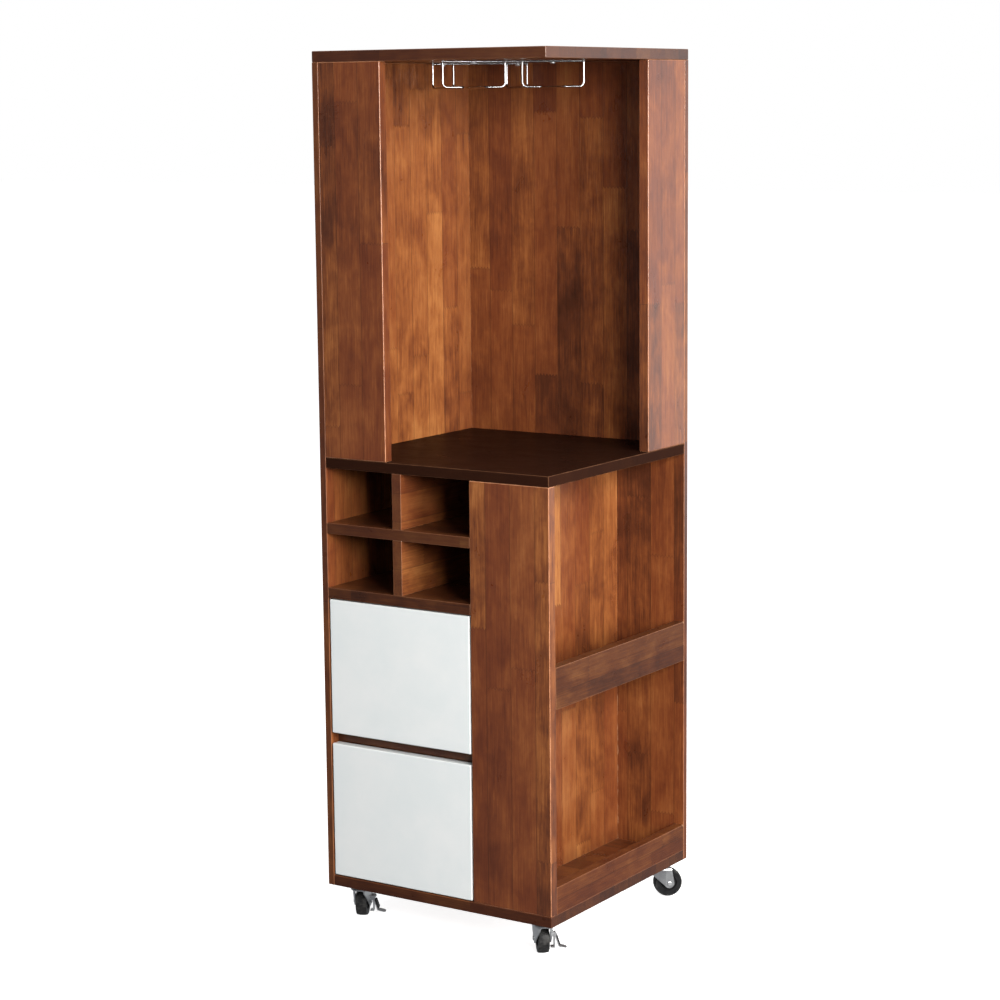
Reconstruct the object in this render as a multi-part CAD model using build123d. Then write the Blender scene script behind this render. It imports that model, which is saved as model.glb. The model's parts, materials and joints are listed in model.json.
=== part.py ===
from build123d import *
import math
import os

# Corner bar cabinet on four swivel casters, in millimetres.
# +Z is up and z = 0 is the floor.  The origin is the centre of the plan.
# The drawer face looks along -Y, the bottle shelves open along +X, and the two
# full-height walls stand on the -X and +Y sides.

# ---- Driving dimensions ------------------------------------------------------------
WIDTH = 450.0  # outside, along X
DEPTH = 450.0  # outside, along Y
CASTER_HEIGHT = 65.0  # floor to the underside of the bottom board
BODY_HEIGHT = 1405.0  # bottom board's underside to the top board's top
BOARD = 18.0  # edge-glued rubberwood boards
WALL = 12.0  # the two full-height walls and the side shelf
ARRIS = 0.8  # eased edge on ordinary boards
SOFT_ARRIS = 1.6  # eased edge where hands reach: top, counter, wings, corner panel

# Heights above the underside of the bottom board
COUNTER_TOP = 739.0
CUBBY_SHELF_TOP = 628.5
CUBBY_FLOOR_TOP = 518.5
SIDE_SHELF_BOTTOM = 358.5
UPPER_RAIL_TOP = 427.5
LOWER_RAIL_TOP = 63.5

# Widths
WING_WIDTH = 123.0
PANEL_WIDTH = 151.5

# Drawers
FRONT_HEIGHT = 230.0
FRONT_REVEAL = 2.0
FRONT_SIDE_REVEAL = 2.5
FINGER_GAP = 18.5
RAIL_SETBACK = 20.0
RAIL_DEPTH = 60.0
BOX_LIFT = 22.0  # drawer box above the bottom edge of its front
BOX_HEIGHT = 160.0
BOX_LENGTH = 365.0
BOX_WALL = 12.0
BOX_BOTTOM = 6.0
BOX_GROOVE = 6.0
BOTTOM_LIFT = 10.0

# Telescopic drawer runners
RUNNER_SPACE = 12.7
RUNNER_LENGTH = 350.0
RUNNER_SETBACK = 20.0  # behind the drawer face
RUNNER_LIFT = 62.0  # runner centre line above the bottom edge of the front
RUNNER_STEEL = 1.2
# Each member's web and flange tip, measured from the bay's wall, and its height
RUNNER_MEMBERS = {
    "outer": (0.0, 11.0, 45.0),
    "middle": (3.0, 10.0, 38.6),
    "inner": (RUNNER_SPACE, 5.6, 32.2),
}

# Hanging glass rack, bent from round wire
WIRE = 3.2
RACK_CORNER = 166.0  # rack front, measured along both faces from the open corner
RACK_LENGTH = 275.0
RACK_DROP = 41.0
OUTER_UPRIGHT = 117.0
INNER_UPRIGHT = 14.2
OUTER_RAIL = 83.0
INNER_RAIL = 47.0
UPRIGHT_BEND = 8.0
LIP_BEND = 5.0
REAR_BEND = 6.0
BAR_OVERHANG = 1.6
RACK_SCREW = 3.2
RACK_SCREW_GRIP = 10.8  # length in the top board
RACK_SCREW_HEAD = 9.0
RACK_HEAD_HEIGHT = 2.4
RACK_HEAD_ROUND = 1.4
SLOT_WIDTH = 1.0
SLOT_DEPTH = 0.8

# Casters
CASTER_INSET = 39.0
WHEEL_RADIUS = 25.0
WHEEL_WIDTH = 18.5
TRAIL = 20.0
PLATE_SIZE = 50.0
PLATE_STEEL = 2.5
PLATE_CORNER = 6.0
PLATE_HOLE_PITCH = 38.0
RACE_RADIUS = 16.0
RACE_BOTTOM = 54.9
RACE_ROUND = 2.0
HEAD_ROUND = 1.2  # rounded rim of a pin or screw head
RUNNING_GAP = 0.05
KINGPIN_RADIUS = 4.0
KINGPIN_HEAD_RADIUS = 7.0
KINGPIN_HEAD = 2.0
AXLE_RADIUS = 2.5
AXLE_HALF = 15.05  # half the axle's length between its heads
AXLE_HEAD_RADIUS = 3.8
AXLE_HEAD = 1.2
AXLE_HEAD_ROUND = 0.8
CASTER_SCREW_RADIUS = 2.0
CASTER_SCREW_LENGTH = 14.0
CASTER_SCREW_HEAD_RADIUS = 3.8
CASTER_SCREW_HEAD = 2.0

# Caster fork: two arms that flare towards the crown and tuck in ahead of a crease
FORK_STEEL = 1.8
FORK_TOP = 54.5
FORK_FOOT = 14.0
FORK_TOP_HALF = 17.5  # half the width over the arms, at the crown and at the foot
FORK_FOOT_HALF = 13.6
FORK_CREASE = 13.0
FORK_TUCK = 0.25  # inward run of the arms per millimetre ahead of the crease
FORK_SHOULDER_ROUND = 5.0
FORK_DISC_RADIUS = 17.0
FORK_LEAD = 17.0
FORK_TAIL = 23.0
FORK_LEAD_EDGE = 6.0
FORK_TIP_RADIUS = 8.5
FORK_LEAD_LEAN = 42.5  # degrees from level where each sloping edge meets the rounded tip
FORK_TAIL_LEAN = 9.6

# Caster wheel section
HUB_RADIUS = 7.0
HUB_PROUD = 1.0
DISH = 2.5
DISH_RADIUS = 13.5
RIM_RADIUS = 14.5
CROWN = 1.0
RIM_ROUND = 1.2

# Brake pedals
PEDAL_CENTRE = 18.5  # along the fork from the kingpin
PEDAL_PIN_Y = 19.3
PEDAL_PIN_Z = 33.0
PEDAL_PIN_RADIUS = 1.5
PEDAL_WIDTH = 12.0
PEDAL_STEEL = 1.6
KNUCKLE_RADIUS = 2.7
SHANK_FOOT = (-26.5, 11.0)  # Y and Z of the bend between shank and tread
TREAD_END = (-40.0, 8.0)
TREAD_CORNER = 4.0
HEEL_DROP = 24.0
HEEL_REACH = 5.9
PAD_START = 4.5  # along the shank from the pivot
PAD_LENGTH = 16.5
PAD_HEIGHT = 3.0
PAD_ROUND = 1.2
EAR_STEEL = 1.6
EAR_RADIUS = 3.6
EAR_GAP = 0.4

# ---- Derived places ----------------------------------------------------------------
LEFT = -WIDTH / 2
RIGHT = WIDTH / 2
FRONT = -DEPTH / 2
BACK = DEPTH / 2
INNER_LEFT = LEFT + WALL
INNER_BACK = BACK - WALL
BASE = CASTER_HEIGHT
BASE_TOP = BASE + BOARD
ROOF = BASE + BODY_HEIGHT
ROOF_UNDER = ROOF - BOARD
COUNTER = BASE + COUNTER_TOP
COUNTER_UNDER = COUNTER - BOARD
FLOOR = BASE + CUBBY_FLOOR_TOP
SHELF = BASE + CUBBY_SHELF_TOP
PANEL_LEFT = RIGHT - PANEL_WIDTH
PARTITION_RIGHT = PANEL_LEFT + BOARD
BEHIND_FACE = FRONT + BOARD
BAY_CENTRE = (INNER_LEFT + PANEL_LEFT) / 2
LOWER_FRONT = BASE_TOP + FRONT_REVEAL
UPPER_FRONT = LOWER_FRONT + FRONT_HEIGHT + FINGER_GAP
WHEEL_Z = WHEEL_RADIUS

nodes = {}


# ---- Shared helpers ----------------------------------------------------------------
def block(x, y, z):
    """A plain box between two corners, each axis given as (low, high)."""
    size = [high - low for low, high in (x, y, z)]
    centre = [(low + high) / 2 for low, high in (x, y, z)]
    return Pos(*centre) * Box(*size)


def board(x, y, z, arris=ARRIS):
    """A board with every edge slightly rounded."""
    plank = block(x, y, z)
    return fillet(plank.edges(), arris)


def rod(start, end, radius):
    """A round bar from one point to another."""
    axis = Vector(*end) - Vector(*start)
    plane = Plane(origin=start, z_dir=axis)
    return extrude(plane * Circle(radius), axis.length)


# ---- Carcass -----------------------------------------------------------------------
def make_carcass():
    nodes["left_wall"] = board((LEFT, INNER_LEFT), (FRONT, BACK), (BASE, ROOF_UNDER))
    nodes["back_wall"] = board((INNER_LEFT, RIGHT), (INNER_BACK, BACK), (BASE, ROOF_UNDER))
    nodes["top_board"] = board((LEFT, RIGHT), (FRONT, BACK), (ROOF_UNDER, ROOF), SOFT_ARRIS)
    nodes["counter_board"] = board(
        (INNER_LEFT, RIGHT), (FRONT, INNER_BACK), (COUNTER_UNDER, COUNTER), SOFT_ARRIS
    )
    nodes["bottom_board"] = board((INNER_LEFT, RIGHT), (FRONT, INNER_BACK), (BASE, BASE_TOP))
    nodes["left_wing"] = board(
        (INNER_LEFT, INNER_LEFT + WING_WIDTH), (FRONT, BEHIND_FACE), (COUNTER, ROOF_UNDER), SOFT_ARRIS
    )
    nodes["right_wing"] = board(
        (RIGHT - BOARD, RIGHT), (INNER_BACK - WING_WIDTH, INNER_BACK), (COUNTER, ROOF_UNDER), SOFT_ARRIS
    )


def make_side_bay():
    """Bottle shelves that open along +X, with a rail along the front of each."""
    shelf_bottom = BASE + SIDE_SHELF_BOTTOM
    shelf_top = shelf_bottom + WALL
    rail = (RIGHT - BOARD, RIGHT)
    run = (BEHIND_FACE, INNER_BACK)
    nodes["partition"] = board((PANEL_LEFT, PARTITION_RIGHT), run, (BASE_TOP, COUNTER_UNDER))
    nodes["corner_panel"] = board(
        (PANEL_LEFT, RIGHT), (FRONT, BEHIND_FACE), (BASE_TOP, COUNTER_UNDER), SOFT_ARRIS
    )
    nodes["side_shelf"] = board((PARTITION_RIGHT, RIGHT - BOARD), run, (shelf_bottom, shelf_top))
    nodes["side_rail_upper"] = board(rail, run, (shelf_bottom, BASE + UPPER_RAIL_TOP))
    nodes["side_rail_lower"] = board(rail, run, (BASE_TOP, BASE + LOWER_RAIL_TOP))


def make_cubbies():
    """Two rows of two pigeonholes above the drawers."""
    bay = (INNER_LEFT, PANEL_LEFT)
    run = (FRONT, INNER_BACK)
    divider = (BAY_CENTRE - BOARD / 2, BAY_CENTRE + BOARD / 2)
    nodes["cubby_floor"] = board(bay, run, (FLOOR - BOARD, FLOOR))
    nodes["cubby_shelf"] = board(bay, run, (SHELF - BOARD, SHELF))
    nodes["cubby_divider_lower"] = board(divider, run, (FLOOR, SHELF - BOARD))
    nodes["cubby_divider_upper"] = board(divider, run, (SHELF, COUNTER_UNDER))
    gap_middle = UPPER_FRONT - FINGER_GAP / 2
    rail_front = FRONT + RAIL_SETBACK
    nodes["drawer_rail"] = board(
        bay, (rail_front, rail_front + RAIL_DEPTH), (gap_middle - BOARD / 2, gap_middle + BOARD / 2)
    )


# ---- Drawers and runners -----------------------------------------------------------
def channel(side, web, tip, middle, height):
    """A C-shaped steel runner member; web and tip are distances from the bay's wall."""
    wall = INNER_LEFT if side < 0 else PANEL_LEFT
    start = FRONT + RUNNER_SETBACK
    run = (start, start + RUNNER_LENGTH)
    towards_tip = math.copysign(1, tip - web)

    def across(a, b):
        return sorted((wall - side * a, wall - side * b))

    low = middle - height / 2
    high = middle + height / 2
    web_plate = block(across(web, web + towards_tip * RUNNER_STEEL), run, (low, high))
    lower_flange = block(across(web, tip), run, (low, low + RUNNER_STEEL))
    upper_flange = block(across(web, tip), run, (high - RUNNER_STEEL, high))
    return web_plate + lower_flange + upper_flange


def make_runners(name, front_bottom):
    """One runner each side of a drawer: fixed, middle and drawer members."""
    middle = front_bottom + RUNNER_LIFT
    for member, (web, tip, height) in RUNNER_MEMBERS.items():
        pair = [channel(side, web, tip, middle, height) for side in (-1, 1)]
        nodes[f"{name}_runner_{member}"] = Compound(children=pair)


def make_drawer(name, front_bottom):
    """A slab front and a grooved box behind it."""
    left = INNER_LEFT + RUNNER_SPACE
    right = PANEL_LEFT - RUNNER_SPACE
    back = BEHIND_FACE + BOX_LENGTH
    box_bottom = front_bottom + BOX_LIFT
    height = (box_bottom, box_bottom + BOX_HEIGHT)
    panel_z = (box_bottom + BOTTOM_LIFT, box_bottom + BOTTOM_LIFT + BOX_BOTTOM)
    inside = (left + BOX_WALL, right - BOX_WALL)
    grooved = (inside[0] - BOX_GROOVE, inside[1] + BOX_GROOVE)
    groove = block(grooved, (BEHIND_FACE, back), panel_z)
    back_height = (panel_z[1], height[1])
    nodes[f"{name}_front"] = board(
        (INNER_LEFT + FRONT_SIDE_REVEAL, PANEL_LEFT - FRONT_SIDE_REVEAL),
        (FRONT, BEHIND_FACE),
        (front_bottom, front_bottom + FRONT_HEIGHT),
        SOFT_ARRIS,
    )
    nodes[f"{name}_side_left"] = block((left, inside[0]), (BEHIND_FACE, back), height) - groove
    nodes[f"{name}_side_right"] = block((inside[1], right), (BEHIND_FACE, back), height) - groove
    nodes[f"{name}_back"] = block(inside, (back - BOX_WALL, back), back_height)
    nodes[f"{name}_bottom"] = groove


# ---- Hanging glass rack ------------------------------------------------------------
def rack_place(shape):
    """Turn a piece drawn square-on so that the rack faces the open corner."""
    return Pos(RIGHT - RACK_CORNER, FRONT + RACK_CORNER, ROOF_UNDER - WIRE / 2) * Rot(0, 0, 45) * shape


def rack_wire(upright, rail):
    """Upright, lip, rail and rear upright bent from one length of wire."""
    under_bar = -WIRE / 2
    path = FilletPolyline(
        (upright, 0, under_bar),
        (upright, 0, -RACK_DROP),
        (rail, 0, -RACK_DROP),
        (rail, RACK_LENGTH, -RACK_DROP),
        (rail, RACK_LENGTH, under_bar),
        radius=[UPRIGHT_BEND, LIP_BEND, REAR_BEND],
    )
    start = Plane(origin=path @ 0, z_dir=path % 0)
    return sweep(start * Circle(WIRE / 2), path)


def rack_screw_places():
    """Screw axes in the rack's own directions, each just behind its bar."""
    beside = WIRE / 2 + RACK_SCREW / 2 + 0.2
    channel_middle = (OUTER_UPRIGHT + INNER_UPRIGHT) / 2
    front_pair = [(side * channel_middle, beside) for side in (-1, 1)]
    rear_pair = [(side * channel_middle, RACK_LENGTH - beside) for side in (-1, 1)]
    return front_pair + rear_pair


def rack_screw(x, y):
    """Round-headed screw whose head clamps the bar against the top board."""
    head_top = -WIRE / 2
    head_bottom = head_top - RACK_HEAD_HEIGHT
    shank = rod((x, y, head_top), (x, y, WIRE / 2 + RACK_SCREW_GRIP), RACK_SCREW / 2)
    head = rod((x, y, head_bottom), (x, y, head_top), RACK_SCREW_HEAD / 2)
    head = fillet(head.edges().sort_by(Axis.Z)[0], RACK_HEAD_ROUND)
    slot = Pos(x, y, head_bottom) * Box(RACK_SCREW_HEAD, SLOT_WIDTH, 2 * SLOT_DEPTH)
    return shank + (head - slot)


def make_rack():
    front_half = OUTER_UPRIGHT + BAR_OVERHANG
    rear_half = OUTER_RAIL + BAR_OVERHANG
    front_bar = rod((-front_half, 0, 0), (front_half, 0, 0), WIRE / 2)
    rear_bar = rod((-rear_half, RACK_LENGTH, 0), (rear_half, RACK_LENGTH, 0), WIRE / 2)
    nodes["rack_front_bar"] = rack_place(front_bar)
    nodes["rack_rear_bar"] = rack_place(rear_bar)
    wires = {
        "rack_wire_left_outer": (-OUTER_UPRIGHT, -OUTER_RAIL),
        "rack_wire_left_inner": (-INNER_UPRIGHT, -INNER_RAIL),
        "rack_wire_right_inner": (INNER_UPRIGHT, INNER_RAIL),
        "rack_wire_right_outer": (OUTER_UPRIGHT, OUTER_RAIL),
    }
    for name, (upright, rail) in wires.items():
        nodes[name] = rack_place(rack_wire(upright, rail))
    places = rack_screw_places()
    screws = [rack_place(rack_screw(x, y)) for x, y in places]
    nodes["rack_screws"] = Compound(children=screws)
    for x, y in places:
        hole = rod((x, y, 0), (x, y, WIRE / 2 + RACK_SCREW_GRIP), RACK_SCREW / 2)
        nodes["top_board"] -= rack_place(hole)


# ---- Casters -----------------------------------------------------------------------
def caster_plate():
    """Square mounting plate with a pressed ring that the fork turns under."""
    plate = Pos(0, 0, BASE - PLATE_STEEL / 2) * Box(PLATE_SIZE, PLATE_SIZE, PLATE_STEEL)
    plate = fillet(plate.edges().filter_by(Axis.Z), PLATE_CORNER)
    ring = rod((0, 0, RACE_BOTTOM), (0, 0, BASE - PLATE_STEEL), RACE_RADIUS)
    plate += fillet(ring.edges().sort_by(Axis.Z)[0], RACE_ROUND)
    plate -= rod((0, 0, 0), (0, 0, BASE), KINGPIN_RADIUS)
    for x, y in plate_holes():
        plate -= rod((x, y, 0), (x, y, BASE), CASTER_SCREW_RADIUS)
    return plate


def plate_holes():
    half = PLATE_HOLE_PITCH / 2
    return [(x, y) for x in (-half, half) for y in (-half, half)]


def kingpin():
    """Riveted pivot pin with its head below the fork."""
    head_top = FORK_TOP - FORK_STEEL - 0.1
    shank = rod((0, 0, head_top), (0, 0, BASE), KINGPIN_RADIUS)
    head = rod((0, 0, head_top - KINGPIN_HEAD), (0, 0, head_top), KINGPIN_HEAD_RADIUS)
    return shank + fillet(head.edges().sort_by(Axis.Z)[0], HEAD_ROUND)


def caster_screw(x, y):
    head_top = BASE - PLATE_STEEL
    head_bottom = head_top - CASTER_SCREW_HEAD
    shank = rod((x, y, head_top), (x, y, head_top + CASTER_SCREW_LENGTH), CASTER_SCREW_RADIUS)
    head = rod((x, y, head_bottom), (x, y, head_top), CASTER_SCREW_HEAD_RADIUS)
    head = fillet(head.edges().sort_by(Axis.Z)[0], HEAD_ROUND)
    slot = Pos(x, y, head_bottom) * Box(2 * CASTER_SCREW_HEAD_RADIUS, SLOT_WIDTH, 2 * SLOT_DEPTH)
    return shank + (head - slot)


def arm_half(level):
    """Half the width over the fork's arms at one height, behind the crease."""
    rise = (level - FORK_FOOT) / (FORK_TOP - FORK_FOOT)
    return FORK_FOOT_HALF + rise * (FORK_TOP_HALF - FORK_FOOT_HALF)


def fork_plan(level, inset, overrun):
    """Plan outline over both arms at one height, moved in all round by the steel."""
    half = arm_half(level) - inset
    lead = FORK_LEAD + overrun
    tail = TRAIL + FORK_TIP_RADIUS + 1.0 + overrun
    lead_half = half - FORK_TUCK * (FORK_CREASE + lead)
    right = [(-lead, -lead_half), (FORK_CREASE, -half), (tail, -half)]
    left = [(x, -y) for x, y in reversed(right)]
    return Plane.XY.offset(level) * Polygon(*right, *left, align=None)


def fork_hull(bottom, top, inset, overrun, shoulder):
    """Closed form over the arms with rounded shoulders."""
    lower = fork_plan(bottom, inset, overrun)
    upper = fork_plan(top, inset, overrun)
    hull = loft([lower, upper], ruled=True)
    long_edges = hull.edges().group_by(Axis.Z)[-1].filter_by(Axis.Y, reverse=True)
    return fillet(long_edges, shoulder)


def fork_side():
    """Side view of the arms: square at the crown, sloping in to the rounded tip."""
    lead = math.radians(FORK_LEAD_LEAN)
    tail = math.radians(FORK_TAIL_LEAN)
    lead_point = (TRAIL - FORK_TIP_RADIUS * math.cos(lead), WHEEL_Z - FORK_TIP_RADIUS * math.sin(lead))
    tail_point = (TRAIL + FORK_TIP_RADIUS * math.cos(tail), WHEEL_Z + FORK_TIP_RADIUS * math.sin(tail))
    slopes = Polygon(
        (-FORK_LEAD, FORK_TOP),
        (FORK_TAIL, FORK_TOP),
        tail_point,
        (TRAIL, WHEEL_Z),
        lead_point,
        (-FORK_LEAD, FORK_TOP - FORK_LEAD_EDGE),
        align=None,
    )
    outline = slopes + Pos(TRAIL, WHEEL_Z) * Circle(FORK_TIP_RADIUS)
    return extrude(Plane.XZ * outline, 2 * FORK_TOP_HALF, both=True)


def fork(brake):
    outer = fork_hull(FORK_FOOT, FORK_TOP, 0.0, 0.0, FORK_SHOULDER_ROUND)
    inner_round = FORK_SHOULDER_ROUND - FORK_STEEL
    inner = fork_hull(FORK_FOOT - 4.0, FORK_TOP - FORK_STEEL, FORK_STEEL, 4.0, inner_round)
    body = (outer - inner) & fork_side()
    body += Pos(0, 0, FORK_TOP - FORK_STEEL / 2) * Cylinder(FORK_DISC_RADIUS, FORK_STEEL)
    body -= rod((0, 0, 0), (0, 0, BASE), KINGPIN_RADIUS + RUNNING_GAP)
    if brake:
        for side in (-1, 1):
            body += pedal_ear(side)
    body -= rod((TRAIL, -WIDTH, WHEEL_Z), (TRAIL, WIDTH, WHEEL_Z), AXLE_RADIUS)
    return body


def pedal_ear(side):
    """Small lug on the fork that carries one end of the pedal's pivot."""
    inner = PEDAL_WIDTH / 2 + EAR_GAP
    x = PEDAL_CENTRE + side * (inner + EAR_STEEL / 2)
    centre = (x, -PEDAL_PIN_Y, PEDAL_PIN_Z)
    lug = Pos(*centre) * Rot(0, 90, 0) * Cylinder(EAR_RADIUS, EAR_STEEL)
    arm_y = FORK_STEEL / 2 - arm_half(PEDAL_PIN_Z)
    web = block(
        (x - EAR_STEEL / 2, x + EAR_STEEL / 2),
        (-PEDAL_PIN_Y, arm_y),
        (PEDAL_PIN_Z - EAR_RADIUS, PEDAL_PIN_Z + EAR_RADIUS),
    )
    hole = Pos(*centre) * Rot(0, 90, 0) * Cylinder(PEDAL_PIN_RADIUS + RUNNING_GAP, EAR_STEEL * 3)
    return lug + web - hole


def axle():
    end = AXLE_HALF + AXLE_HEAD
    pin = rod((TRAIL, -AXLE_HALF, WHEEL_Z), (TRAIL, AXLE_HALF, WHEEL_Z), AXLE_RADIUS)
    for side in (-1, 1):
        head = rod((TRAIL, side * AXLE_HALF, WHEEL_Z), (TRAIL, side * end, WHEEL_Z), AXLE_HEAD_RADIUS)
        rim = head.edges().filter_by(GeomType.CIRCLE).sort_by(Axis.Y)[-1 if side > 0 else 0]
        pin += fillet(rim, AXLE_HEAD_ROUND)
    return pin


def wheel():
    """Moulded wheel with a barely crowned tread, dished faces and a hub boss."""
    half = WHEEL_WIDTH / 2
    bore = AXLE_RADIUS + RUNNING_GAP
    side = [
        (bore, half + HUB_PROUD),
        (HUB_RADIUS, half + HUB_PROUD),
        (HUB_RADIUS + 0.5, half - DISH),
        (DISH_RADIUS, half - DISH),
        (RIM_RADIUS, half),
        (WHEEL_RADIUS - CROWN, half),
    ]
    other_side = [(radius, -y) for radius, y in side]
    crown = ThreePointArc(side[-1], (WHEEL_RADIUS, 0), other_side[-1])
    closing = Line(other_side[0], side[0])
    face = make_face([*Polyline(*side).edges(), crown, *Polyline(*other_side).edges(), closing])
    turned = revolve(face, Axis.Y)
    circles = turned.edges().filter_by(GeomType.CIRCLE)
    rims = circles.filter_by(lambda edge: abs(edge.radius - WHEEL_RADIUS + CROWN) < 0.01)
    return Pos(TRAIL, 0, WHEEL_Z) * fillet(rims, RIM_ROUND)


def strip(start, end, thickness):
    """A flat plate as wide as the pedal, between two (Y, Z) points."""
    run = Vector(0, *end) - Vector(0, *start)
    middle = (Vector(0, *start) + Vector(0, *end)) / 2
    slope = math.degrees(math.atan2(run.Z, run.Y))
    return Pos(0, middle.Y, middle.Z) * Rot(slope, 0, 0) * Box(PEDAL_WIDTH, run.length, thickness)


def pedal():
    """Side brake lever: steep shank, low tread, and a heel that reaches in below the fork."""
    pivot = Pos(PEDAL_CENTRE, -PEDAL_PIN_Y, PEDAL_PIN_Z)
    pin = Rot(0, 90, 0) * Cylinder(PEDAL_PIN_RADIUS, PEDAL_WIDTH + 2 * (EAR_GAP + EAR_STEEL))
    knuckle = Rot(0, 90, 0) * Cylinder(KNUCKLE_RADIUS, PEDAL_WIDTH)
    heel_x = (-PEDAL_WIDTH / 2, PEDAL_WIDTH / 2)
    heel_web = block(heel_x, (-PEDAL_STEEL / 2, PEDAL_STEEL / 2), (-HEEL_DROP, 0))
    heel_toe = block(heel_x, (-PEDAL_STEEL / 2, HEEL_REACH), (-HEEL_DROP, PEDAL_STEEL - HEEL_DROP))
    shank = strip((-PEDAL_PIN_Y, PEDAL_PIN_Z), SHANK_FOOT, PEDAL_STEEL)
    bend = Pos(0, *SHANK_FOOT) * Rot(0, 90, 0) * Cylinder(PEDAL_STEEL / 2, PEDAL_WIDTH)
    tread = strip(SHANK_FOOT, TREAD_END, PEDAL_STEEL)
    corners = tread.edges().filter_by(Axis.X, reverse=True).sort_by(Axis.Y)
    short = [edge for edge in corners if edge.length < 2 * PEDAL_STEEL]
    tread = fillet(short[:2], TREAD_CORNER)
    lever = Pos(PEDAL_CENTRE, 0, 0) * (shank + bend + tread)
    return pivot * (pin + knuckle + heel_web + heel_toe) + lever


def pedal_pad():
    """Moulded grip over the outside of the shank."""
    along = math.atan2(PEDAL_PIN_Z - SHANK_FOOT[1], -PEDAL_PIN_Y - SHANK_FOOT[0])
    pad = block(
        (-PEDAL_WIDTH / 2, PEDAL_WIDTH / 2),
        (-PAD_START - PAD_LENGTH, -PAD_START),
        (PEDAL_STEEL / 2, PEDAL_STEEL / 2 + PAD_HEIGHT),
    )
    pad = fillet(pad.faces().sort_by(Axis.Z)[-1].edges(), PAD_ROUND)
    pivot = Pos(PEDAL_CENTRE, -PEDAL_PIN_Y, PEDAL_PIN_Z)
    return pivot * Rot(math.degrees(along), 0, 0) * pad


def make_casters():
    """Four casters: name, corner, direction of the trail in degrees, and brake."""
    across = RIGHT - CASTER_INSET
    along = BACK - CASTER_INSET
    corners = {
        "open_corner": (across, -along, 130.0, True),
        "left_front": (-across, -along, 116.0, True),
        "right_back": (across, along, 45.0, False),
        "left_back": (-across, along, 310.0, False),
    }
    plates = []
    pins = []
    screws = []
    for name, (x, y, heading, brake) in corners.items():
        fixed = Pos(x, y, 0)
        turned = fixed * Rot(0, 0, heading)
        plates.append(fixed * caster_plate())
        pins.append(fixed * kingpin())
        for hole_x, hole_y in plate_holes():
            screws.append(fixed * caster_screw(hole_x, hole_y))
            screw_x = x + hole_x
            screw_y = y + hole_y
            screw_end = BASE - PLATE_STEEL + CASTER_SCREW_LENGTH
            pilot = rod((screw_x, screw_y, BASE), (screw_x, screw_y, screw_end), CASTER_SCREW_RADIUS)
            nodes["bottom_board"] -= pilot
        nodes[f"{name}_fork"] = turned * fork(brake)
        nodes[f"{name}_axle"] = turned * axle()
        nodes[f"{name}_wheel"] = turned * wheel()
        if brake:
            nodes[f"{name}_pedal"] = turned * pedal()
            nodes[f"{name}_pad"] = turned * pedal_pad()
    nodes["caster_plates"] = Compound(children=plates)
    nodes["caster_kingpins"] = Compound(children=pins)
    nodes["caster_screws"] = Compound(children=screws)


# ---- Assembly ----------------------------------------------------------------------
make_carcass()
make_side_bay()
make_cubbies()
for drawer_name, drawer_bottom in (("upper_drawer", UPPER_FRONT), ("lower_drawer", LOWER_FRONT)):
    make_drawer(drawer_name, drawer_bottom)
    make_runners(drawer_name, drawer_bottom)
make_rack()
make_casters()

os.makedirs("parts", exist_ok=True)
for node_name, shape in nodes.items():
    export_step(shape, f"parts/{node_name}.step")
print(len(nodes), "nodes written")
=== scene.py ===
import json
import math

import bmesh
import bpy
from mathutils import Matrix, Vector


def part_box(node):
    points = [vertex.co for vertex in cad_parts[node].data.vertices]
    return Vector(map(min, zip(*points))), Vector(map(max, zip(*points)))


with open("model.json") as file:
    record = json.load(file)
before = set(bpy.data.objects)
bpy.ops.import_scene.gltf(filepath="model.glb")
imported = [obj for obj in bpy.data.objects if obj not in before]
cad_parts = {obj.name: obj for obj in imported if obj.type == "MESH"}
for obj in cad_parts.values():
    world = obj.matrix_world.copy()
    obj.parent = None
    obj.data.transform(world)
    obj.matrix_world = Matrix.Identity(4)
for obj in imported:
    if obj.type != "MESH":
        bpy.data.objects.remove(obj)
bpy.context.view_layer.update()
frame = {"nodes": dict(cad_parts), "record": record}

X, Y, Z = 0, 1, 2

# ---- Shader building ---------------------------------------------------------------


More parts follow.
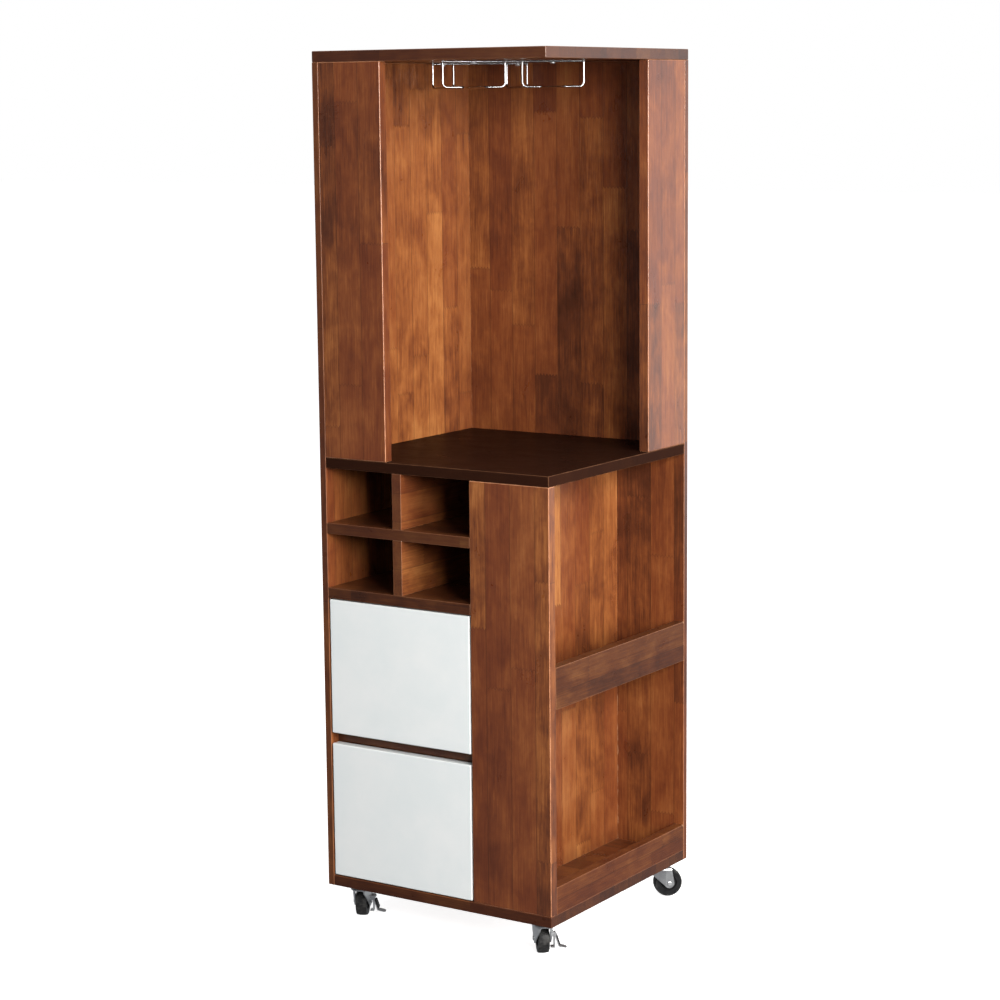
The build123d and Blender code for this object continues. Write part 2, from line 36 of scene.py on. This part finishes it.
class Nodes:
    """Adds nodes to one tree; an argument is a number, a colour, or another node's output."""

    def __init__(self, tree):
        self.tree = tree

    def add(self, kind, inputs=(), **settings):
        node = self.tree.nodes.new(kind)
        for name, value in settings.items():
            setattr(node, name, value)
        for key, value in dict(inputs).items():
            self.plug(value, node.inputs[key])
        return node

    def plug(self, value, socket):
        if isinstance(value, bpy.types.NodeSocket):
            self.tree.links.new(value, socket)
        elif isinstance(value, (tuple, list)) and len(value) == 3 and socket.type == "RGBA":
            socket.default_value = (*value, 1.0)
        else:
            socket.default_value = value

    def math(self, operation, first, second=0.0, third=0.0):
        inputs = {0: first, 1: second, 2: third}
        return self.add("ShaderNodeMath", inputs, operation=operation).outputs[0]

    def combine(self, x, y, z):
        return self.add("ShaderNodeCombineXYZ", {0: x, 1: y, 2: z}).outputs[0]

    def split(self, vector):
        return self.add("ShaderNodeSeparateXYZ", {0: vector}).outputs

    def shift(self, vector, offset):
        inputs = {0: vector, 1: offset}
        return self.add("ShaderNodeVectorMath", inputs, operation="ADD").outputs[0]

    def stretch(self, vector, scale):
        inputs = {0: vector, 1: scale}
        return self.add("ShaderNodeVectorMath", inputs, operation="MULTIPLY").outputs[0]

    def noise(self, vector, scale=1.0, detail=2.0, roughness=0.5, distortion=0.0):
        inputs = {
            "Vector": vector,
            "Scale": scale,
            "Detail": detail,
            "Roughness": roughness,
            "Distortion": distortion,
        }
        return self.add("ShaderNodeTexNoise", inputs).outputs["Fac"]

    def random(self, vector):
        """Three random numbers that stay the same over one cell."""
        colour = self.add("ShaderNodeTexWhiteNoise", {"Vector": vector}).outputs["Color"]
        return self.split(colour)

    def band(self, value, low, high, out_low=0.0, out_high=1.0):
        """Smooth step from low to high."""
        inputs = {
            "Value": value,
            "From Min": low,
            "From Max": high,
            "To Min": out_low,
            "To Max": out_high,
        }
        settings = {"interpolation_type": "SMOOTHSTEP"}
        return self.add("ShaderNodeMapRange", inputs, **settings).outputs["Result"]

    def ramp(self, value, stops):
        node = self.add("ShaderNodeValToRGB", {"Fac": value})
        elements = node.color_ramp.elements
        while len(elements) < len(stops):
            elements.new(0.5)
        for element, (position, colour) in zip(elements, stops):
            element.position = position
            element.color = (*colour, 1.0)
        return node.outputs["Color"]

    def mix(self, factor, first, second):
        node = self.add("ShaderNodeMix", data_type="RGBA")
        self.plug(factor, node.inputs[0])
        self.plug(first, node.inputs[6])
        self.plug(second, node.inputs[7])
        return node.outputs[2]

    def length(self, vector):
        inputs = {0: vector}
        return self.add("ShaderNodeVectorMath", inputs, operation="LENGTH").outputs["Value"]

    def facing(self, axis):
        """How squarely the skin faces along one axis, from 0 to 1."""
        normal = self.split(self.add("ShaderNodeNewGeometry").outputs["Normal"])[axis]
        return self.math("ABSOLUTE", normal)

    def bump(self, height, distance, strength=1.0):
        inputs = {"Height": height, "Distance": distance, "Strength": strength}
        return self.add("ShaderNodeBump", inputs).outputs["Normal"]

    def place(self):
        """The point in the piece's own space, in metres."""
        return self.add("ShaderNodeTexCoord").outputs["Object"]


def new_material(name, **constants):
    """A Principled material, its node helper and its shader, with constants set on the shader."""
    material = bpy.data.materials.new(name)
    material.use_nodes = True
    surface = material.node_tree.nodes["Principled BSDF"]
    for key, value in constants.items():
        surface.inputs[key.replace("_", " ").title().replace("Ior", "IOR")].default_value = value
    return material, Nodes(material.node_tree), surface


def finish_material(nodes, surface, colour, roughness, normal=None):
    nodes.plug(colour, surface.inputs["Base Color"])
    nodes.plug(roughness, surface.inputs["Roughness"])
    if normal is not None:
        nodes.plug(normal, surface.inputs["Normal"])


def edge_distance(nodes, point, low, high):
    """Distance from a point on a box's skin to its nearest edge: the middle one of three gaps."""
    gaps = []
    for axis, value in enumerate(nodes.split(point)):
        from_low = nodes.math("SUBTRACT", value, low[axis])
        from_high = nodes.math("SUBTRACT", high[axis], value)
        gaps.append(nodes.math("MINIMUM", from_low, from_high))
    nearest = nodes.math("MINIMUM", gaps[0], gaps[1])
    other = nodes.math("MAXIMUM", gaps[0], gaps[1])
    return nodes.math("MAXIMUM", nearest, nodes.math("MINIMUM", other, gaps[2]))


# ---- Stained board -----------------------------------------------------------------
STAVE_WIDTH = 0.047
PIECE_LENGTH = 0.46
FINGER_PITCH = 0.0065
FINGER_DEPTH = 0.0045
STAIN = (
    (0.00, (0.040, 0.0120, 0.0060)),
    (0.30, (0.095, 0.0270, 0.0110)),
    (0.50, (0.175, 0.0500, 0.0155)),
    (0.72, (0.285, 0.0940, 0.0260)),
    (1.00, (0.430, 0.1700, 0.0500)),
)
STAIN_RED = (0.150, 0.032, 0.0120)
# Dark brown for pores, glue lines and darker stain; it is also mixed in as painted shade on the faces of
# shelves and floors
DARK_STAIN_AND_SHADE = (0.020, 0.0075, 0.0045)
# Pale edge colour: real wear, and a painted highlight where light catches the rounded arrises
WORN_AND_HIGHLIT = (0.62, 0.29, 0.15)
DRIED_GLUE = (0.46, 0.27, 0.15)


def make_stave_group():
    """Edge-glued, finger-jointed boards under a brown stain: colour, roughness and height."""
    tree = bpy.data.node_groups.new("stained_staves", "ShaderNodeTree")
    for name in ("Along", "Across", "Depth", "Seed", "Edge", "Wear And Highlight", "Stain And Shade", "Lift"):
        tree.interface.new_socket(name, in_out="INPUT", socket_type="NodeSocketFloat")
    tree.interface.new_socket("Colour", in_out="OUTPUT", socket_type="NodeSocketColor")
    tree.interface.new_socket("Roughness", in_out="OUTPUT", socket_type="NodeSocketFloat")
    tree.interface.new_socket("Height", in_out="OUTPUT", socket_type="NodeSocketFloat")
    n = Nodes(tree)
    given = n.add("NodeGroupInput").outputs
    along, across, depth, seed, edge, wear_and_highlight, stain_and_shade, painted_light = (given[i] for i in range(8))

    # Which stave, and which length of wood within it
    lane = n.math("ADD", n.math("DIVIDE", across, STAVE_WIDTH), n.math("MULTIPLY", seed, 7.31))
    stave = n.math("FLOOR", lane)
    stave_random = n.random(n.combine(stave, seed, 0.0))
    fingers = n.math("PINGPONG", across, FINGER_PITCH / 2)
    fingers = n.math("MULTIPLY", fingers, 2 * FINGER_DEPTH / FINGER_PITCH)
    reach = n.math("DIVIDE", n.math("ADD", along, fingers), PIECE_LENGTH)
    reach = n.math("ADD", reach, n.math("MULTIPLY", stave_random[0], 5.0))
    piece = n.math("FLOOR", reach)
    tint, hue, slide = n.random(n.combine(stave, piece, seed))

    # Distance to the glue lines, in metres
    lane_edge = n.math("PINGPONG", n.math("FRACT", lane), 0.5)
    lane_edge = n.math("MULTIPLY", lane_edge, STAVE_WIDTH)
    end_edge = n.math("PINGPONG", n.math("FRACT", reach), 0.5)
    end_edge = n.math("MULTIPLY", end_edge, PIECE_LENGTH)
    glue = n.math("MINIMUM", lane_edge, end_edge)
    glue_line = n.band(glue, 0.0002, 0.0009, 1.0, 0.0)

    # Grain belongs to each length of wood; the stain's blotches run over all of them
    offset = n.combine(
        n.math("MULTIPLY", slide, 9.0), n.math("MULTIPLY", hue, 5.0), n.math("MULTIPLY", tint, 4.0)
    )
    board = n.combine(along, across, depth)
    wood = n.shift(board, offset)
    stained = n.shift(board, n.combine(seed, n.math("MULTIPLY", seed, 3.7), 0.0))
    drift = n.noise(n.stretch(stained, (4.0, 6.0, 6.0)), detail=3.0, roughness=0.55)
    blotch = n.noise(n.stretch(stained, (13.0, 19.0, 19.0)), detail=4.0, roughness=0.58, distortion=0.4)
    curl = n.noise(n.stretch(wood, (34.0, 60.0, 60.0)), detail=3.0, roughness=0.6, distortion=0.6)
    figure = n.noise(n.stretch(wood, (5.0, 105.0, 105.0)), detail=4.0, roughness=0.6, distortion=0.5)
    grain = n.noise(n.stretch(wood, (18.0, 560.0, 560.0)), detail=3.0, roughness=0.65)
    pores = n.noise(n.stretch(wood, (70.0, 1500.0, 1500.0)), detail=1.0)
    pores = n.band(pores, 0.58, 0.72)

    # The lift raises or lowers a whole board's tone: painted light, most on the left wall and partition that
    # the light from the right falls on
    tone = n.math("MULTIPLY_ADD", tint, 0.30, n.math("ADD", painted_light, 0.5 - 0.15))
    layers = ((drift, 0.80), (blotch, 0.80), (curl, 0.34), (figure, 0.42), (grain, 0.80))
    for texture, weight in layers:
        centred = n.math("SUBTRACT", texture, 0.5)
        tone = n.math("MULTIPLY_ADD", centred, weight, tone)
    colour = n.ramp(tone, STAIN)
    reddened = n.math("MULTIPLY", n.band(n.math("ADD", hue, drift), 0.75, 1.35), 0.42)
    colour = n.mix(reddened, colour, STAIN_RED)
    colour = n.mix(n.math("MULTIPLY", pores, 0.20), colour, DARK_STAIN_AND_SHADE)
    colour = n.mix(n.math("MULTIPLY", glue_line, 0.50), colour, DARK_STAIN_AND_SHADE)
    # Mix towards dark brown: real stain on the counter and rails, painted shade on the flat faces of the
    # shelves, floors and top board
    colour = n.mix(stain_and_shade, colour, DARK_STAIN_AND_SHADE)

    # Paler eased edges: partly stain rubbed off by hands and cloths, partly a painted highlight along the
    # arrises
    edge_wobble = n.noise(n.stretch(board, (45.0, 45.0, 45.0)), detail=3.0)
    edge_width = n.math("MULTIPLY_ADD", edge_wobble, 0.0016, 0.0003)
    edge_mark = n.band(n.math("DIVIDE", edge, edge_width), 0.5, 1.2, 1.0, 0.0)
    colour = n.mix(n.math("MULTIPLY", edge_mark, wear_and_highlight), colour, WORN_AND_HIGHLIT)

    roughness = n.math("MULTIPLY_ADD", blotch, 0.22, 0.20)
    roughness = n.math("MULTIPLY_ADD", pores, 0.12, roughness)
    height = n.math("MULTIPLY_ADD", grain, 0.35, n.math("MULTIPLY", pores, -0.55))
    height = n.math("MULTIPLY_ADD", figure, 0.45, height)
    height = n.math("MULTIPLY_ADD", glue_line, -0.5, height)
    out = n.add("NodeGroupOutput")
    for socket, value in zip(out.inputs, (colour, roughness, height)):
        n.plug(value, socket)
    return tree


STAVES = make_stave_group()


def glue_bead(n, colour, across, along, inner, seam, reach):
    """Dried glue along an inside corner, where inner is 1, with gaps where it was wiped away."""
    broken = n.noise(n.combine(0.0, seam, along), 55.0, 3.0)
    width = n.band(broken, 0.44, 0.66, 0.0, 0.0012)
    gap = n.math("ABSOLUTE", n.math("SUBTRACT", across, seam))
    above = n.math("GREATER_THAN", along, reach[0])
    below = n.math("LESS_THAN", along, reach[1])
    bead = n.math("MULTIPLY", n.math("LESS_THAN", gap, width), n.math("MULTIPLY", above, below))
    return n.mix(n.math("MULTIPLY", bead, n.math("MULTIPLY", inner, 0.7)), colour, DRIED_GLUE)


def filler_dab(n, colour, point, centre, radius):
    """A ragged dab of pale filler round one point."""
    from_centre = n.shift(point, tuple(-value for value in centre))
    ragged = n.math("MULTIPLY_ADD", n.noise(point, 700.0, 3.0), 1.4 * radius, n.length(from_centre))
    dab = n.band(ragged, 1.1 * radius, 1.5 * radius, 0.75, 0.0)
    return n.mix(dab, colour, DRIED_GLUE)


# Along these lines of the back wall: where across it, and from what height to what height
CORNER_BEADS = (
    (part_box("left_wall")[1].x, (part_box("counter_board")[1].z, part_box("top_board")[0].z)),
    (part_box("partition")[1].x, (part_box("bottom_board")[1].z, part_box("side_shelf")[0].z)),
)
DABBED_RAILS = ("side_rail_upper", "side_rail_lower")
DAB_RADIUS = 0.005


def board_material(node, grain, across, seed, wear_and_highlight, stain_and_shade, rim, painted_light, gloss):
    """The stained board with its grain along one axis and its staves side by side along another."""
    low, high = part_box(node)
    constants = {"specular_ior_level": gloss, "coat_weight": 0.3 * gloss, "coat_roughness": 0.16}
    material, n, surface = new_material(f"{node}_stain", **constants)
    point = n.place()
    parts = n.split(point)
    depth = 3 - grain - across
    group = n.add("ShaderNodeGroup", node_tree=STAVES)
    edge = edge_distance(n, point, low, high)
    # Faces get the first stain value, thin edges the second; the face value on shelves, floors and the top
    # board is painted shade
    stain_and_shade = n.band(n.facing(depth), 0.3, 0.7, rim, stain_and_shade)
    settings = (parts[grain], parts[across], parts[depth], seed, edge, wear_and_highlight, stain_and_shade, painted_light)
    for socket, value in zip(group.inputs, settings):
        n.plug(value, socket)
    colour = group.outputs["Colour"]
    if node == "back_wall":
        inner = n.math("LESS_THAN", parts[depth], (low[depth] + high[depth]) / 2)
        for seam, reach in CORNER_BEADS:
            colour = glue_bead(n, colour, parts[across], parts[grain], inner, seam, reach)
    if node in DABBED_RAILS:
        colour = filler_dab(n, colour, point, high, DAB_RADIUS)
    normal = n.bump(group.outputs["Height"], 0.0002, 0.45)
    finish_material(n, surface, colour, group.outputs["Roughness"], normal)
    return material


# Grain axis, stave axis, wear and painted highlight of the arrises, stain of the faces (painted shade on
# shelves and floors) and of the thin edges, painted light lift, gloss
BOARDS = {
    "left_wall": (Z, Y, 0.22, 0.00, 0.50, 0.13, 0.40),
    "back_wall": (Z, X, 0.35, 0.00, 0.35, 0.02, 0.40),
    "top_board": (X, Y, 0.12, 0.62, 0.70, 0.00, 0.40),
    "counter_board": (X, Y, 0.12, 0.985, 0.97, 0.00, 0.005),
    "bottom_board": (X, Y, 0.04, 0.25, 0.72, 0.00, 0.25),
    "left_wing": (Z, X, 0.65, 0.05, 0.15, -0.03, 0.40),
    "right_wing": (Z, Y, 0.55, 0.00, 0.10, 0.00, 0.50),
    "partition": (Z, Y, 0.30, 0.00, 0.00, 0.14, 0.40),
    "corner_panel": (Z, X, 0.65, 0.05, 0.12, 0.00, 0.40),
    "side_shelf": (Y, X, 0.25, 0.20, 0.40, 0.00, 0.40),
    "side_rail_upper": (Y, Z, 0.16, 0.66, 0.70, 0.00, 0.16),
    "side_rail_lower": (Y, Z, 0.12, 0.50, 0.45, 0.00, 0.16),
    "cubby_floor": (X, Y, 0.10, 0.60, 0.70, 0.00, 0.30),
    "cubby_shelf": (X, Y, 0.10, 0.60, 0.70, 0.00, 0.30),
    "cubby_divider_lower": (Y, Z, 0.12, 0.20, 0.55, 0.08, 0.40),
    "cubby_divider_upper": (Y, Z, 0.12, 0.20, 0.55, 0.08, 0.40),
    "drawer_rail": (X, Y, 0.10, 0.70, 0.70, 0.00, 0.40),
}


# ---- Other finishes ----------------------------------------------------------------
def white_lacquer(node):
    """Gloss white slab: faint orange peel, wiping marks and a greyer rubbed edge."""
    low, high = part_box(node)
    constants = {"coat_weight": 0.6, "coat_roughness": 0.04, "specular_ior_level": 0.45}
    material, n, surface = new_material(f"{node}_lacquer", **constants)
    point = n.place()
    cloud = n.noise(point, 9.0, 4.0, 0.6)
    wipes = n.noise(n.stretch(point, (8.0, 8.0, 60.0)), 1.0, 4.0, 0.7, 0.8)
    peel = n.noise(point, 420.0, 2.0)
    colour = n.mix(n.band(cloud, 0.3, 0.75), (0.82, 0.87, 0.875), (0.875, 0.905, 0.905))
    edge = edge_distance(n, point, low, high)
    edge_mark = n.band(edge, 0.0004, 0.0022, 1.0, 0.0)
    colour = n.mix(n.math("MULTIPLY", edge_mark, 0.25), colour, (0.62, 0.60, 0.57))
    roughness = n.math("MULTIPLY_ADD", wipes, 0.10, 0.10)
    finish_material(n, surface, colour, roughness, n.bump(peel, 0.0001, 0.25))
    return material


PLY_FACE = (
    (0.30, (0.42, 0.29, 0.16)),
    (0.55, (0.60, 0.45, 0.28)),
    (0.80, (0.70, 0.56, 0.38)),
)
PLY_DARK = (0.26, 0.15, 0.075)
VENEER = 0.0013


def plywood(node, thin):
    """Pale drawer plywood; its veneers show wherever the skin turns across the thin axis."""
    material, n, surface = new_material(f"{node}_plywood", specular_ior_level=0.3)
    point = n.place()
    parts = n.split(point)
    long_way = Y if thin != Y else X
    scale = [70.0, 70.0, 70.0]
    scale[long_way] = 7.0
    grain = n.noise(n.stretch(point, tuple(scale)), 1.0, 5.0, 0.6, 0.5)
    colour = n.ramp(grain, PLY_FACE)
    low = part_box(node)[0]
    layer = n.math("DIVIDE", n.math("SUBTRACT", parts[thin], low[thin]), VENEER)
    stripe = n.band(n.math("PINGPONG", layer, 1.0), 0.35, 0.65)
    on_edge = n.math("LESS_THAN", n.facing(thin), 0.5)
    colour = n.mix(n.math("MULTIPLY", on_edge, n.math("MULTIPLY", stripe, 0.7)), colour, PLY_DARK)
    roughness = n.math("MULTIPLY_ADD", grain, 0.2, 0.42)
    finish_material(n, surface, colour, roughness, n.bump(grain, 0.0002, 0.4))
    return material


def zinc(name, colour_low, colour_high, rough, grime=0.25):
    """Bright zinc plate: fine spangle, handling haze and a little grime."""
    material, n, surface = new_material(name, metallic=1.0)
    point = n.place()
    spangle = n.add("ShaderNodeTexVoronoi", {"Vector": point, "Scale": 420.0}).outputs["Color"]
    flake = n.split(spangle)[0]
    haze = n.noise(point, 60.0, 4.0, 0.6)
    scratches = n.noise(n.stretch(point, (900.0, 900.0, 90.0)), 1.0, 2.0)
    colour = n.mix(n.math("MULTIPLY_ADD", flake, 0.4, n.math("MULTIPLY", haze, 0.6)), colour_low, colour_high)
    dirt = n.math("MULTIPLY", n.band(haze, 0.52, 0.78), grime)
    colour = n.mix(dirt, colour, (0.20, 0.19, 0.18))
    roughness = n.math("MULTIPLY_ADD", haze, 0.22, rough)
    roughness = n.math("MULTIPLY_ADD", scratches, 0.08, roughness)
    finish_material(n, surface, colour, roughness, n.bump(scratches, 0.00005, 0.3))
    return material


def chrome(name):
    """Chromed wire under a light haze."""
    material, n, surface = new_material(name, metallic=1.0)
    point = n.place()
    haze = n.noise(point, 45.0, 4.0, 0.6)
    fine = n.noise(point, 900.0, 2.0)
    colour = n.mix(n.band(haze, 0.35, 0.75), (0.36, 0.36, 0.37), (0.27, 0.27, 0.28))
    roughness = n.math("MULTIPLY_ADD", haze, 0.14, 0.05)
    finish_material(n, surface, colour, roughness, n.bump(fine, 0.00003, 0.2))
    return material


def wheel_material(node):
    """Black moulded wheel, scuffed and dusty where it rolls."""
    material, n, surface = new_material(f"{node}_black", specular_ior_level=0.2)
    low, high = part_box(node)
    centre = (low + high) / 2
    point = n.shift(n.place(), tuple(-centre))
    radius = n.length(point)
    dust = n.noise(point, 140.0, 5.0, 0.65)
    fine = n.noise(point, 1500.0, 3.0)
    tread = n.band(radius, 0.0225, 0.0255)
    scuffed = n.math("MULTIPLY", tread, n.band(dust, 0.35, 0.7))
    colour = n.mix(n.band(dust, 0.3, 0.8), (0.007, 0.007, 0.008), (0.017, 0.017, 0.018))
    colour = n.mix(n.math("MULTIPLY", scuffed, 0.45), colour, (0.11, 0.107, 0.10))
    roughness = n.math("MULTIPLY_ADD", dust, 0.25, 0.30)
    roughness = n.math("MULTIPLY_ADD", scuffed, 0.2, roughness)
    finish_material(n, surface, colour, roughness, n.bump(fine, 0.00012, 0.4))
    return material


def moulded_grip(name):
    """Matt black grip with a fine moulded grit."""
    material, n, surface = new_material(name, specular_ior_level=0.4)
    point = n.place()
    grit = n.noise(point, 1300.0, 3.0)
    dust = n.noise(point, 120.0, 4.0, 0.6)
    colour = n.mix(n.band(dust, 0.4, 0.8), (0.018, 0.018, 0.020), (0.050, 0.049, 0.048))
    finish_material(n, surface, colour, n.math("MULTIPLY_ADD", dust, 0.2, 0.45), n.bump(grit, 0.0002, 0.5))
    return material


# ---- Dress the CAD nodes -----------------------------------------------------------
def dress(node, material):
    """Give a CAD node one material."""
    mesh = frame["nodes"][node].data
    mesh.materials.clear()
    mesh.materials.append(material)


def dress_everything():
    """The boards by their table, every other node by its slot in the record."""
    slots = {entry["node"]: entry["material_slot"] for entry in frame["record"]["subparts"]}
    for seed, (node, (grain, across, *look)) in enumerate(BOARDS.items(), start=1):
        dress(node, board_material(node, grain, across, float(seed), *look))
    pressed = zinc("zinc_pressed", (0.68, 0.70, 0.71), (0.88, 0.89, 0.90), 0.24)
    screw = zinc("zinc_screw", (0.42, 0.43, 0.44), (0.66, 0.67, 0.68), 0.30, grime=0.4)
    runner = zinc("zinc_runner", (0.50, 0.51, 0.53), (0.70, 0.71, 0.73), 0.22, grime=0.15)
    shared = {
        "chrome_wire": chrome("chrome_wire"),
        "zinc_steel": pressed,
        "zinc_screw": screw,
        "runner_steel": runner,
        "brake_pad": moulded_grip("brake_grip"),
    }
    for node, slot in slots.items():
        if slot in shared:
            dress(node, shared[slot])
        elif slot == "white_lacquer":
            dress(node, white_lacquer(node))
        elif slot == "black_wheel":
            dress(node, wheel_material(node))
        elif slot == "birch_ply":
            thin = {"side": X, "back": Y, "bottom": Z}[node.split("_")[2]]
            dress(node, plywood(node, thin))


dress_everything()


# ---- Studio ------------------------------------------------------------------------
FLOOR_REACH = 30.0
FLOOR_GLOW = 0.86
WARM = (1.0, 0.975, 0.94)
SOFTER_WARM = (1.0, 0.98, 0.95)


def make_floor():
    """A pale floor, kept out of the bounce so that it doesn't light the piece from below."""
    mesh = bpy.data.meshes.new("floor")
    shape = bmesh.new()
    bmesh.ops.create_grid(shape, x_segments=8, y_segments=8, size=FLOOR_REACH)
    shape.to_mesh(mesh)
    shape.free()
    floor = bpy.data.objects.new("floor", mesh)
    bpy.context.scene.collection.objects.link(floor)
    material, n, surface = new_material("floor_paint", specular_ior_level=0.2)
    cloud = n.noise(n.place(), 3.0, 3.0)
    colour = n.mix(cloud, (0.90, 0.90, 0.90), (0.93, 0.93, 0.93))
    finish_material(n, surface, colour, 0.7)
    surface.inputs["Emission Color"].default_value = (1.0, 1.0, 1.0, 1.0)
    surface.inputs["Emission Strength"].default_value = FLOOR_GLOW
    mesh.materials.append(material)
    floor.visible_diffuse = False
    floor.visible_glossy = False


def make_world():
    """White to the eye; as a light it is dim ahead and brighter behind."""
    world = bpy.data.worlds.new("studio")
    bpy.context.scene.world = world
    world.use_nodes = True
    n = Nodes(world.node_tree)
    background = world.node_tree.nodes["Background"]
    direction = n.split(n.add("ShaderNodeTexCoord").outputs["Generated"])
    behind = n.band(direction[Y], -0.7, 0.9)
    glow = n.mix(behind, (0.15, 0.15, 0.16), (0.38, 0.39, 0.40))
    seen = n.add("ShaderNodeLightPath").outputs["Is Camera Ray"]
    n.plug(n.mix(seen, glow, (1.0, 1.0, 1.0)), background.inputs["Color"])
    background.inputs["Strength"].default_value = 1.0


def area_light(name, place, target, width, height, power, colour=(1.0, 1.0, 1.0)):
    """A soft panel aimed at a target, unseen by the camera; power is in watts."""
    data = bpy.data.lights.new(name, "AREA")
    data.shape = "RECTANGLE"
    data.size = width
    data.size_y = height
    data.energy = power
    data.color = colour
    light = bpy.data.objects.new(name, data)
    light.location = place
    aim = Vector(target) - Vector(place)
    light.rotation_euler = aim.to_track_quat("-Z", "Y").to_euler()
    light.visible_camera = False
    bpy.context.scene.collection.objects.link(light)


def make_lights():
    """A low key and a soft panel to the right, weaker ones behind, in front and above."""
    area_light("key_front_right", (2.75, -2.30, 1.75), (0.0, 0.0, 0.9), 0.8, 1.2, 105.0, WARM)
    area_light("soft_right", (3.15, -1.0, 1.5), (0.0, 0.0, 0.85), 1.3, 2.0, 150.0, SOFTER_WARM)
    area_light("panel_behind_right", (1.75, 2.6, 1.35), (0.0, 0.0, 1.0), 2.4, 2.5, 19.0)
    area_light("front_fill", (0.3, -4.2, 1.6), (0.0, 0.0, 0.7), 1.6, 1.6, 17.0)
    area_light("top_soft", (0.0, 0.0, 4.4), (0.0, 0.0, 0.0), 3.6, 3.6, 80.0)


CAMERA_PLACE = (2.3027, -3.5337, 1.3904)
CAMERA_HEADING = math.radians(33.25)  # to the left of +Y
CAMERA_TILT = math.radians(9.06)  # downwards
CAMERA_ROLL = math.radians(0.55)
SENSOR = 36.0
FOCAL_LENGTH = 90.55


def make_camera():
    """Long lens from the open corner's side, a little above the counter."""
    level = math.cos(CAMERA_TILT)
    sine, cosine = math.sin(CAMERA_HEADING), math.cos(CAMERA_HEADING)
    forward = Vector((-sine * level, cosine * level, -math.sin(CAMERA_TILT)))
    level_right = Vector((cosine, sine, 0.0))
    level_up = level_right.cross(forward)
    right = level_right * math.cos(CAMERA_ROLL) - level_up * math.sin(CAMERA_ROLL)
    up = level_right * math.sin(CAMERA_ROLL) + level_up * math.cos(CAMERA_ROLL)
    turn = Matrix((right, up, -forward)).transposed()
    data = bpy.data.cameras.new("photo_view")
    data.sensor_width = SENSOR
    data.lens = FOCAL_LENGTH
    camera = bpy.data.objects.new("photo_view", data)
    camera.matrix_world = Matrix.Translation(CAMERA_PLACE) @ turn.to_4x4()
    bpy.context.scene.collection.objects.link(camera)
    bpy.context.scene.camera = camera


make_floor()
make_world()
make_lights()
make_camera()
bpy.context.scene.view_settings.view_transform = "Standard"
